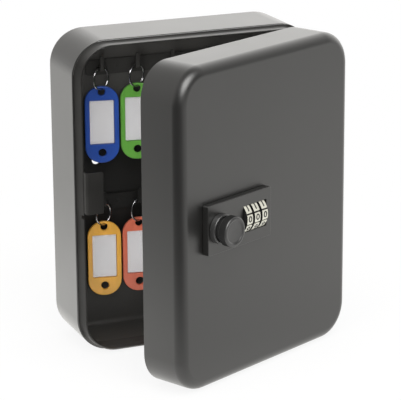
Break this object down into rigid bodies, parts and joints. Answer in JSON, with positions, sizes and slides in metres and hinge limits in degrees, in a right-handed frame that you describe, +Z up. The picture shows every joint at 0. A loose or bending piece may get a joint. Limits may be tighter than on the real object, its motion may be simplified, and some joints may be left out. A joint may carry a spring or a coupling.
{
  "type": "key cabinet",
  "caption": "Wall key cabinet of drawn steel sheet, door ajar on its right-hand hinges, with a knob and number wheels in the door and tags on hooks inside.",
  "frame": {"origin": "centre of the back's outer face, which lies on the wall", "axes": "+X to the right as seen from the front, +Y from the front to the wall, +Z up"},
  "size_m": [0.1709, 0.1508, 0.2],
  "materials": {
    "black_paint": "satin powder coat",
    "inside_paint": "satin powder coat",
    "lock_plastic": "satin",
    "zinc": "zinc plated",
    "ring_steel": "bright plated",
    "wheel_face": "satin",
    "tag_blue": "gloss",
    "tag_green": "gloss",
    "tag_yellow": "gloss",
    "tag_red": "gloss",
    "label_paper": "paper",
    "clear_pane": "clear"
  },
  "bodies": {
    "case": {"body_pan": "black_paint", "inner_collar": "inside_paint", "keeper": "inside_paint", "hook_rail_upper": "inside_paint", "hook_rail_lower": "inside_paint", "hinge_upper_body_leaf": "inside_paint", "hinge_upper_pin": "zinc", "hinge_lower_body_leaf": "inside_paint", "hinge_lower_pin": "zinc"},
    "door": {"door_pan": "black_paint", "hinge_upper_door_leaf": "inside_paint", "hinge_lower_door_leaf": "inside_paint", "lock_plate": "black_paint", "knob_ring": "lock_plastic", "lock_case": "lock_plastic", "case_cover": "zinc", "case_screw_1": "zinc", "case_screw_2": "zinc", "wheel_axle": "zinc", "code_sleeve_1": "zinc", "code_sleeve_2": "zinc", "code_sleeve_3": "zinc", "detent_spring": "zinc"},
    "knob": {"knob": "lock_plastic", "knob_spindle": "zinc", "drive_disc": "zinc", "cam": "zinc", "cam_screw": "zinc"},
    "locking_bar": {"locking_bar": "zinc"},
    "reset_pin": {"reset_pin": "zinc"},
    "number_wheel_1": {"number_wheel_1": "wheel_face"},
    "number_wheel_2": {"number_wheel_2": "wheel_face"},
    "number_wheel_3": {"number_wheel_3": "wheel_face"},
    "key_ring_blue": {"key_ring_blue": "ring_steel"},
    "tag_blue": {"tag_frame_blue": "tag_blue", "tag_label_blue": "label_paper", "tag_pane_blue": "clear_pane"},
    "key_ring_green": {"key_ring_green": "ring_steel"},
    "tag_green": {"tag_frame_green": "tag_green", "tag_label_green": "label_paper", "tag_pane_green": "clear_pane"},
    "key_ring_yellow": {"key_ring_yellow": "ring_steel"},
    "tag_yellow": {"tag_frame_yellow": "tag_yellow", "tag_label_yellow": "label_paper", "tag_pane_yellow": "clear_pane"},
    "key_ring_red": {"key_ring_red": "ring_steel"},
    "tag_red": {"tag_frame_red": "tag_red", "tag_label_red": "label_paper", "tag_pane_red": "clear_pane"}
  },
  "joints": [
    {"name": "door_swing", "type": "hinge", "parent": "case", "child": "door", "pos_m": [0.0833, -0.0464, 0], "axis": [0, 0, 1], "range_deg": [-26.2, 93.8]},
    {"name": "knob_turn", "type": "hinge", "parent": "door", "child": "knob", "pos_m": [-0.02161, -0.13603, 0.0012], "axis": [0.4415, -0.8973, 0], "range_deg": [0, 90]},
    {"name": "locking_bar_lift", "type": "slide", "parent": "door", "child": "locking_bar", "axis": [0, 0, 1], "range_m": [0, 0.002]},
    {"name": "number_wheel_1_spin", "type": "hinge", "parent": "door", "child": "number_wheel_1", "pos_m": [-0.0028, -0.11785, 0.0012], "axis": [0.8973, 0.4415, 0], "continuous": true},
    {"name": "number_wheel_2_spin", "type": "hinge", "parent": "door", "child": "number_wheel_2", "pos_m": [0.00348, -0.11476, 0.0012], "axis": [0.8973, 0.4415, 0], "continuous": true},
    {"name": "number_wheel_3_spin", "type": "hinge", "parent": "door", "child": "number_wheel_3", "pos_m": [0.00976, -0.11167, 0.0012], "axis": [0.8973, 0.4415, 0], "continuous": true},
    {"name": "reset_pin_push", "type": "slide", "parent": "door", "child": "reset_pin", "axis": [0.4415, -0.8973, 0], "range_m": [0, 0.0012], "stiffness_N_per_m": 300, "springref_m": -0.001},
    {"name": "key_ring_blue_swing", "type": "hinge", "parent": "case", "child": "key_ring_blue", "pos_m": [-0.048, -0.008, 0.0737], "axis": [-0.866, -0.5, 0], "range_deg": [-2, 15]},
    {"name": "tag_blue_swing", "type": "hinge", "parent": "key_ring_blue", "child": "tag_blue", "pos_m": [-0.048, -0.008, 0.0597], "axis": [-0.866, -0.5, 0], "range_deg": [-2, 20]},
    {"name": "key_ring_green_swing", "type": "hinge", "parent": "case", "child": "key_ring_green", "pos_m": [-0.024, -0.008, 0.0737], "axis": [-0.866, -0.5, 0], "range_deg": [-2, 15]},
    {"name": "tag_green_swing", "type": "hinge", "parent": "key_ring_green", "child": "tag_green", "pos_m": [-0.024, -0.008, 0.0597], "axis": [-0.866, -0.5, 0], "range_deg": [-2, 20]},
    {"name": "key_ring_yellow_swing", "type": "hinge", "parent": "case", "child": "key_ring_yellow", "pos_m": [-0.048, -0.008, -0.0153], "axis": [-0.866, -0.5, 0], "range_deg": [-2, 15]},
    {"name": "tag_yellow_swing", "type": "hinge", "parent": "key_ring_yellow", "child": "tag_yellow", "pos_m": [-0.048, -0.008, -0.0293], "axis": [-0.866, -0.5, 0], "range_deg": [-2, 20]},
    {"name": "key_ring_red_swing", "type": "hinge", "parent": "case", "child": "key_ring_red", "pos_m": [-0.024, -0.008, -0.0153], "axis": [-0.866, -0.5, 0], "range_deg": [-2, 15]},
    {"name": "tag_red_swing", "type": "hinge", "parent": "key_ring_red", "child": "tag_red", "pos_m": [-0.024, -0.008, -0.0293], "axis": [-0.866, -0.5, 0], "range_deg": [-2, 20]}
  ],
  "couplings": [
    {"joint": "locking_bar_lift", "follows": "knob_turn", "m_per_rad": 0.001273}
  ]
}
